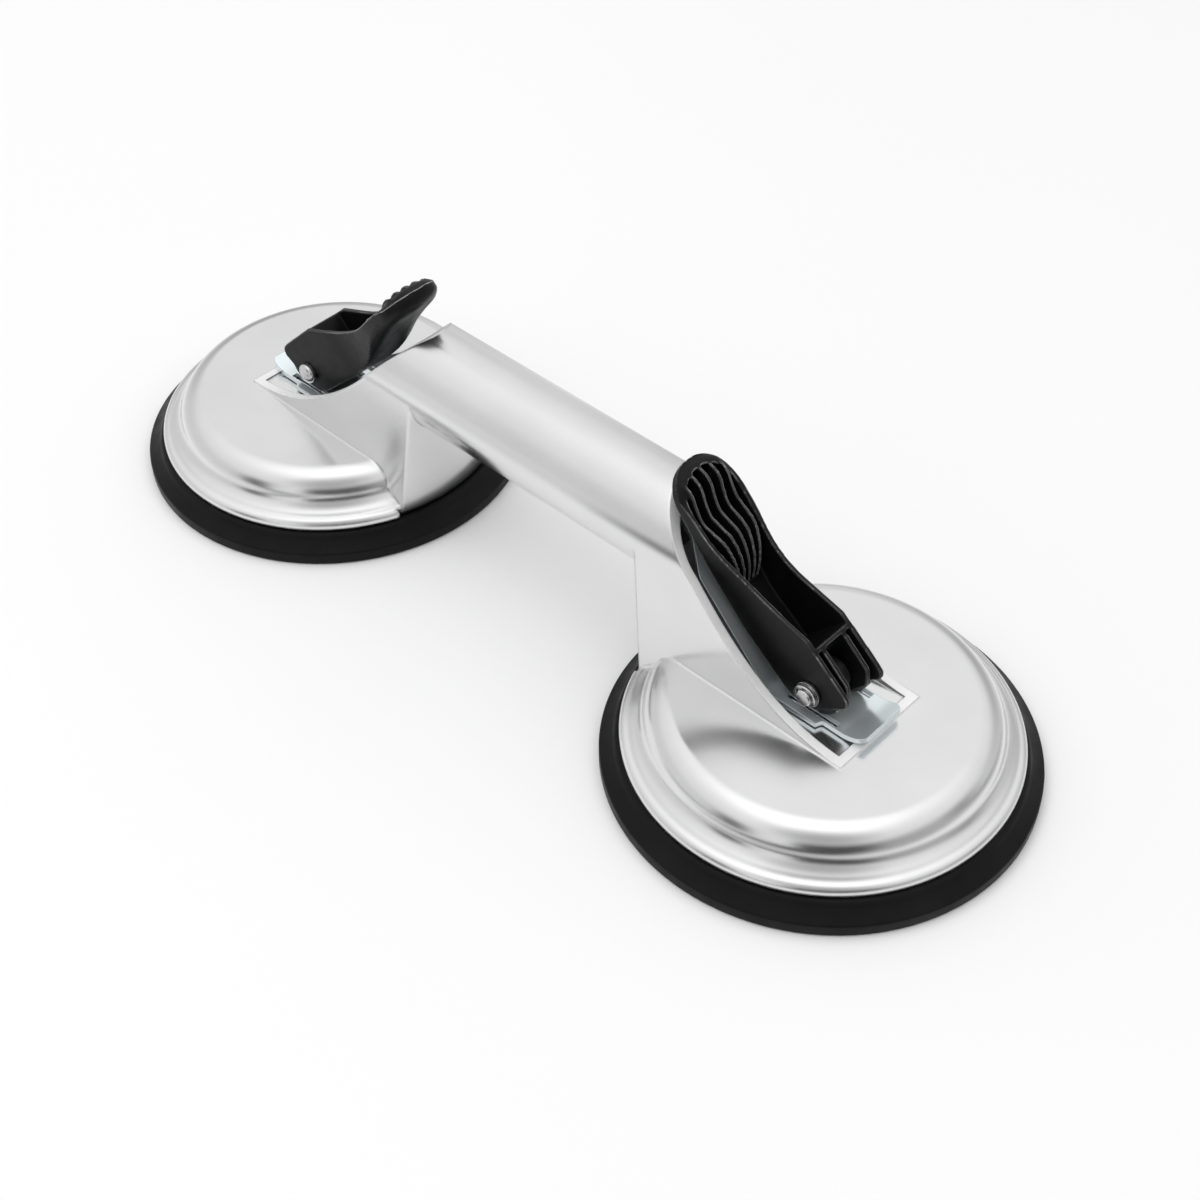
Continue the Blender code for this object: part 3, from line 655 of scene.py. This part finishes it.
def lever_plan(shrink, back=0.0):
    """Outline of the lever seen on its face, in (u, y); back draws its round tip in."""
    knots = [(-12, 7.8), (10, 7.8), (20, 7.75), (27, 7.5), (34, 7.9), (40, 8.8), (46, 9.75)]
    knots += [(52, 10.1), (57.6, 10.1)]
    steps = [-10.0 + (PADDLE_U - back + 10 * MM) / MM * i / 40 for i in range(41)]
    near = [(u * MM, through(knots, u) * MM - shrink) for u in steps]
    tip = arc(PADDLE_U - back, 0.0, PADDLE_HALF - shrink, 88, -88, 40)
    return near + tip + [(u, -y) for u, y in reversed(near)]


def underside(u):
    """Height of the lever's underside along its middle."""
    spine = [(-14, -14), (16, -11.5), (27.3, -9.5), (36.2, -8.3), (45.5, -6.45), (58, -4.9)]
    return through(spine + [(72, -3.4)], u / MM) * MM


def spoon(mesh):
    """Round the paddle like a spoon: near its outline the underside rises and the tip's rim falls."""
    for vert in mesh.vertices:
        u, y, v = vert.co
        out = min(hypot(y, max(0.0, u - PADDLE_U)) / PADDLE_HALF, 1.05) ** 6
        paddle = eased(progress(u, 30 * MM, 16 * MM)) * progress(-v, -1.5 * MM, 6.0 * MM)
        tip = eased(progress(u, 53 * MM, 8 * MM)) * progress(v, -1.0 * MM, 3.0 * MM)
        vert.co.z = v + (2.6 * MM * paddle - 1.8 * MM * tip) * out


def rib_top(u):
    """Height of the finger ribs: out of the trough, down for a finger and up to the tip."""
    knots = [(29.0, -9.0), (31.0, -7.2), (33.0, -4.8), (36.0, -1.9), (40.0, 0.5), (44.5, 1.7)]
    knots += [(48.5, 0.7), (52.0, -0.1), (56.0, 1.3), (58.5, 2.6), (61.0, 3.1), (64.0, 2.3), (66.5, 0.4)]
    return through(knots, u / MM) * MM


def rib(name, i):
    """One finger rib; they fan out from the trough and the outer ones dip towards the tip."""
    order, count = i - RIBS // 2, 60
    fan = [(29.0, 1.6), (33.0, 1.95), (45.0, 3.05), (52.0, RIB_PITCH / MM), (70.0, RIB_PITCH / MM)]
    reach = sqrt((PADDLE_HALF - 1.0 * MM) ** 2 - (order * RIB_PITCH) ** 2)
    start, end = 29.5 * MM, PADDLE_U + reach
    form = bmesh.new()
    sections = []
    for k in range(count + 1):
        u = start + (end - start) * k / count
        y = order * through(fan, u / MM) * MM
        dip = 9.0 * y * y * max(0.0, (u - 52 * MM) / (10 * MM))
        low = underside(u) + 0.7 * MM
        high = max(rib_top(u) - dip, low + 0.3 * MM)
        near, far = y - RIB_HALF, y + RIB_HALF
        places = ((near, low), (far, low), (far, high), (near, high))
        sections.append([form.verts.new((u, a, b)) for a, b in places])
    skin(form, sections)
    return from_form(name, form)


def make_lever_form():
    """Moulded lever in its own frame: trough, finger ribs, cross web, cam ribs, soft moulded edges."""
    lever = prism("lever_form", lever_side(), -12 * MM, 12 * MM, "XZ")
    carve(lever, prism("plan", lever_plan(0.0), -20 * MM, 20 * MM, "XY"), "INTERSECT")
    floor = bezier(*mm([(16, -7.2), (34, -9.2), (38, -5.0), (58, -3.5)]), 30)
    deep = [(WEB_U[1], -6.8 * MM)] + floor + mm([(70, -3.0), (70, 16)]) + [(WEB_U[1], 16 * MM)]
    pocket = prism("pocket", deep, -14 * MM, 14 * MM, "XZ")
    inner = lever_plan(LEVER_WALL, 1.8 * MM)
    carve(pocket, prism("pocket_plan", inner, -18 * MM, 18 * MM, "XY"), "INTERSECT")
    carve(lever, pocket)
    inside = LEVER_HALF - LEVER_WALL
    carve(lever, block("bay", (-12 * MM, -inside, -14 * MM), (WEB_U[0], inside, 16 * MM)))
    for edge in (-1, 1):
        reach = sorted((edge * 3.4 * MM, edge * 4.8 * MM))
        cam = prism("cam_rib", cam_outline(), *reach, "XZ")
        room = block("trim", (-6.9 * MM, -12 * MM, -16 * MM), (12 * MM, 12 * MM, 10.6 * MM))
        carve(cam, room, "INTERSECT")
        carve(lever, cam, "UNION")
        reach = sorted((edge * 4.0 * MM, edge * (LEVER_HALF - 0.5 * MM)))
        carve(lever, prism("cam_foot", foot_outline(), *reach, "XZ"), "UNION")
    for i in range(RIBS):
        carve(lever, rib("rib", i), "UNION")
    carve(lever, rod("bore", PIN_R + 0.3 * MM, -12 * MM, 12 * MM, "Y", (0.0, 0.0)))
    tidy(lever)
    fill = lever.modifiers.new("fill", "REMESH")
    fill.mode = "VOXEL"
    fill.voxel_size = 0.3 * MM
    fill.use_smooth_shade = True
    soft = lever.modifiers.new("soft", "SMOOTH")
    soft.factor = 0.5
    soft.iterations = 6
    bpy.context.view_layer.update()
    apply_modifiers(lever)
    spoon(lever.data)
    return lever


def make_levers():
    """Both levers, from one form."""
    form = make_lever_form()
    for name, side in SIDES.items():
        mesh = form.data.copy()
        shape = lever_to_world(side)
        mesh.transform(shape)
        if shape.determinant() < 0:
            mesh.flip_normals()
        lever = bpy.data.objects.new("lever_" + name, mesh)
        bpy.context.scene.collection.objects.link(lever)
        finish(lever, "lever_" + name, "black_plastic", ["cam_lever_" + name])
    bpy.data.objects.remove(form, do_unlink=True)


# ---------------------------------------------------------------- metal fittings
def make_wear_plate(name, side):
    """Bent steel strip under the lever: rounded tab, slotted floor, ramp and a tongue in the tube."""
    x_tab, x_bend, x_ramp, x_tongue = 117.4 * MM, 110.0 * MM, 87.0 * MM, 49.6 * MM
    bend_r, slant = 3.0 * MM, 1.1 * MM
    bend_z, ramp_end_z = WEAR_TOP_Z + bend_r, WEAR_TOP_Z + x_ramp - x_tongue
    tab_end, tab_slope = (x_tab, WEAR_TOP_Z + 2.2 * MM), (114.5 * MM, WEAR_TOP_Z + 1.1 * MM)
    lift = bezier(tab_end, tab_slope, (112.5 * MM, WEAR_TOP_Z), (x_bend, WEAR_TOP_Z), 10)
    top = lift + arc(x_ramp, bend_z, bend_r, 270, 225, 6) + [(x_tongue, ramp_end_z)]
    under = [(x_tongue - slant, ramp_end_z - slant)]
    under += arc(x_ramp, bend_z, bend_r + WEAR_T, 225, 270, 6)
    under += [(a + 0.35 * MM, b - WEAR_T) for a, b in reversed(lift)]
    strip = prism("wear_strip_" + name, mirrored(top + under, side), -12 * MM, 12 * MM, "XZ")
    x_end = x_tab + 0.6 * MM
    tab_half, corner = 8.5 * MM, 3.5 * MM
    half = mm([(45.0, 5.0), (55.0, 5.0), (62.0, 9.6), (88.0, 9.6), (89.0, 10.5), (103.5, 10.5)])
    half += [(104.0 * MM, tab_half + 0.5 * MM), (104.5 * MM, tab_half)]
    half += arc(x_end - corner, tab_half - corner, corner, 90, 0, 10)
    plan = mirrored(half + [(a, -b) for a, b in reversed(half)], side)
    carve(strip, prism("wear_plan", plan, 15 * MM, 75 * MM, "XY"), "INTERSECT")
    play = 0.3 * MM
    for edge in (-1, 1):
        ends = sorted((side * (CUP_X - 6.8 * MM), side * (CUP_X + 9.4 * MM)))
        walls = sorted((edge * (LEVER_HALF - LEVER_WALL - play), edge * (LEVER_HALF + play)))
        carve(strip, block("relief", (ends[0], walls[0], 15 * MM), (ends[1], walls[1], 30 * MM)))
    carve(strip, rod("stud_slot", STUD_HOLE_R, 15 * MM, 30 * MM, "Z", (side * CUP_X, 0.0)))
    round_edges(strip, 0.3 * MM)
    finish(strip, "housing", "zinc_plate", ["wear_plate_" + name])


def make_pin(name, side):
    """Pivot pin with a domed head, a groove for its clip and a chamfered end."""
    head, under_head, dome_h = 3.3 * MM, -LEVER_HALF - 0.3 * MM, 1.5 * MM
    groove_r, groove_start, groove_end, end = 2.0 * MM, 8.9 * MM, 10.3 * MM, 10.9 * MM
    end_r = PIN_R - 0.1 * MM
    bends = [t * pi / 24 for t in range(13)]
    profile = [(head * sin(t), -9.0 * MM - dome_h * cos(t)) for t in bends]
    profile += [(head, under_head), (PIN_R, under_head), (PIN_R, groove_start)]
    profile += [(groove_r, groove_start), (groove_r, groove_end), (end_r, groove_end)]
    profile += [(end_r, 10.55 * MM), (PIN_R - 0.5 * MM, end), (0.0, end)]
    pin = lathe("pin_" + name, [(r, -y) for r, y in profile], steps=64)
    turn = Matrix.Translation((side * CUP_X, 0.0, PIN_Z)) @ Matrix.Rotation(-side * pi / 2, 4, "X")
    pin.data.transform(turn)
    shade(pin, 40.0)
    finish(pin, "stud_assembly_" + name, "bright_steel", ["pivot_pin_" + name])


def make_clip(name, side):
    """Retaining clip: an open ring whose inner lugs are sprung into the pin's groove."""
    outer, inner, grip, gap = 3.5 * MM, 2.85 * MM, 2.05 * MM, -50.0
    low, high = sorted((-side * 9.2 * MM, -side * 10.0 * MM))
    ring = arc(0, 0, outer, gap + 32, gap + 328, 40)
    bites = ((328, 308, grip), (302, 196, inner), (190, 170, grip), (164, 58, inner), (52, 32, grip))
    for start, end, r in bites:
        ring += arc(0, 0, r, gap + start, gap + end, 12)
    clip = prism("clip_" + name, [(a + side * CUP_X, b + PIN_Z) for a, b in ring], low, high, "XZ")
    round_edges(clip, 0.15 * MM, 2)
    finish(clip, "stud_assembly_" + name, "bright_steel", ["pin_clip_" + name])


def make_spring(name, side):
    """Cone spring round the stud. Its foot rises with the pad plate and its top stays at the dish."""
    low, high = (corner[2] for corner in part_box("return_spring_" + name))
    wire, turns, wide, narrow = 0.7 * MM, 3.5, 15.0 * MM, 7.5 * MM
    count, sides = 126, 10
    form = bmesh.new()
    rings, places = [], []
    for i in range(count + 1):
        t = i / count
        angle = 2 * pi * turns * t
        out = Vector((side * cos(angle), sin(angle), 0.0))
        centre = Vector((side * CUP_X, 0.0, low + wire + (high - low - 2 * wire) * t))
        middle = out * (wide + (narrow - wide) * t) + centre
        ring = []
        for k in range(sides):
            a = 2 * pi * k / sides
            ring.append(form.verts.new(middle + wire * (out * cos(a) + Vector((0, 0, sin(a))))))
        rings.append(ring)
        places += [t] * sides
    skin(form, rings)
    spring = from_form("spring_" + name, form)
    shade(spring, 50.0)
    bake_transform(spring, "stud_assembly_" + name, "housing", (side * CUP_X, 0.0, low), (side * CUP_X, 0.0, high))
    spring.data.attributes["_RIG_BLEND"].data.foreach_set("value", places)
    finish(spring, None, "bright_steel", ["return_spring_" + name])


# ---------------------------------------------------------------- studio
def grey(value):
    """An opaque grey."""
    return (value, value, value, 1.0)


def low_tent(tree, x, y):
    """Colour of the tent's foot by compass direction, with dark gaps at some of them."""
    turn = arithmetic(tree, "ARCTAN2", y, x)
    share = spread(tree, turn, 0.0, 1.0, -pi, pi)
    ramp = tree.nodes.new("ShaderNodeValToRGB")
    stops = ramp.color_ramp.elements
    for stop, position in ((stops[0], 0.0), (stops[1], 1.0)):
        stop.position, stop.color = position, grey(0.72)
    for angle, value in TENT_FOOT:
        stops.new((angle + 180.0) / 360.0).color = grey(value)
    tree.links.new(share, ramp.inputs["Fac"])
    return ramp.outputs["Color"]


def make_floor():
    """White floor. Metal sees it darken away from the object: a painted reflection, as of the dark foot of a tent
    around a small table.
    """
    size = 4.0
    corners = [(-size, -size, 0), (size, -size, 0), (size, size, 0), (-size, size, 0)]
    mesh = bpy.data.meshes.new("floor")
    mesh.from_pydata(corners, [], [(0, 1, 2, 3)])
    floor = bpy.data.objects.new("floor", mesh)
    bpy.context.scene.collection.objects.link(floor)
    mat, tree, shader = new_material("pale_floor", (0.94, 0.94, 0.94), 0.9, specular=0.0)
    colour = tint(tree, noise(tree, 3.0), (0.935, 0.935, 0.935), (0.945, 0.945, 0.945))
    place = tree.nodes.new("ShaderNodeTexCoord")
    split = tree.nodes.new("ShaderNodeSeparateXYZ")
    tree.links.new(place.outputs["Object"], split.inputs["Vector"])
    x, y = split.outputs["X"], split.outputs["Y"]
    past_cup = arithmetic(tree, "SUBTRACT", arithmetic(tree, "ABSOLUTE", x, 0), CUP_X)
    beyond = arithmetic(tree, "MAXIMUM", past_cup, 0.0)
    across = arithmetic(tree, "MULTIPLY", y, y)
    squares = arithmetic(tree, "ADD", arithmetic(tree, "POWER", beyond, 2), across)
    away = spread(tree, arithmetic(tree, "SQRT", squares, 0), 0.0, 1.0, 0.08, 0.14)
    # Only glossy rays see the floor darken: a painted reflection, so the metal mirrors a dark tent foot.
    seen = tree.nodes.new("ShaderNodeLightPath")
    painted_reflection_dim = arithmetic(tree, "MULTIPLY", away, seen.outputs["Is Glossy Ray"])
    tree.links.new(mixed(tree, painted_reflection_dim, colour, low_tent(tree, x, y)), shader.inputs["Base Color"])
    mesh.materials.append(mat)


def make_world():
    """A white tent that metal sees with dark gaps at its foot and a dark card beside the camera."""
    world = bpy.data.worlds.new("studio")
    bpy.context.scene.world = world
    world.use_nodes = True
    tree = world.node_tree
    place = tree.nodes.new("ShaderNodeTexCoord")
    split = tree.nodes.new("ShaderNodeSeparateXYZ")
    tree.links.new(place.outputs["Generated"], split.inputs["Vector"])
    height = tree.nodes.new("ShaderNodeValToRGB")
    stops = height.color_ramp.elements
    stops[0].position, stops[0].color = 0.0, grey(0.78)
    stops[1].position, stops[1].color = 1.0, grey(1.45)
    for position, value in ((0.45, 0.85), (0.7, 0.92), (0.86, 1.05)):
        stops.new(position).color = grey(value)
    tree.links.new(split.outputs["Z"], height.inputs["Fac"])
    foot = spread(tree, split.outputs["Z"], 1.0, 0.0, 0.28, 0.5)
    low = low_tent(tree, split.outputs["X"], split.outputs["Y"])
    tent = mixed(tree, foot, height.outputs["Color"], low)
    camera_side = (0.489, -0.516, 0.703)
    facing = tree.nodes.new("ShaderNodeVectorMath")
    facing.operation = "DOT_PRODUCT"
    tree.links.new(place.outputs["Generated"], facing.inputs[0])
    facing.inputs[1].default_value = camera_side
    card = spread(tree, facing.outputs["Value"], 0.0, 0.6, 0.88, 0.99)
    tent = mixed(tree, card, tent, (0.18, 0.18, 0.18))
    seen = tree.nodes.new("ShaderNodeLightPath")
    shown = mixed(tree, seen.outputs["Is Camera Ray"], tent, (1.0, 1.0, 1.0))
    tree.links.new(shown, tree.nodes["Background"].inputs["Color"])
    tree.nodes["Background"].inputs["Strength"].default_value = 1.0


def area_light(name, place, target, size, power):
    """A soft lamp that metal doesn't mirror, since the tent already stands in its place."""
    lamp = bpy.data.lights.new(name, "AREA")
    lamp.shape = "RECTANGLE"
    lamp.size, lamp.size_y = size
    lamp.energy = power
    obj = bpy.data.objects.new(name, lamp)
    obj.visible_glossy = False
    turn = (Vector(target) - Vector(place)).to_track_quat("-Z", "Y").to_matrix().to_4x4()
    obj.matrix_world = Matrix.Translation(place) @ turn
    bpy.context.scene.collection.objects.link(obj)


def make_camera():
    """A camera level with the photo's view: azimuth 43.4, elevation 44.7 degrees, a slight roll."""
    data = bpy.data.cameras.new("camera")
    data.sensor_width = 36.0
    data.lens = 56.02
    data.clip_start, data.clip_end = 0.01, 20.0
    camera = bpy.data.objects.new("camera", data)
    azimuth, elevation, roll = radians(43.43), radians(44.69), radians(-0.35)
    place = (0.283809, -0.281811, 0.387759)
    turn = Matrix.Rotation(azimuth, 3, "Z") @ Matrix.Rotation(radians(90) - elevation, 3, "X")
    turn = turn @ Matrix.Rotation(roll, 3, "Z")
    camera.matrix_world = Matrix.Translation(place) @ turn.to_4x4()
    bpy.context.scene.collection.objects.link(camera)
    bpy.context.scene.camera = camera


dress_nodes()
make_casting()
make_levers()
for side_name, side_sign in SIDES.items():
    make_pad(side_name, side_sign)
    make_wear_plate(side_name, side_sign)
    make_pin(side_name, side_sign)
    make_clip(side_name, side_sign)
    make_spring(side_name, side_sign)
make_floor()
make_world()
area_light("key", (-0.2, -0.5, 1.3), (0, 0, 0), (1.0, 1.0), 3.5)
make_camera()
bpy.context.scene.view_settings.view_transform = "Standard"
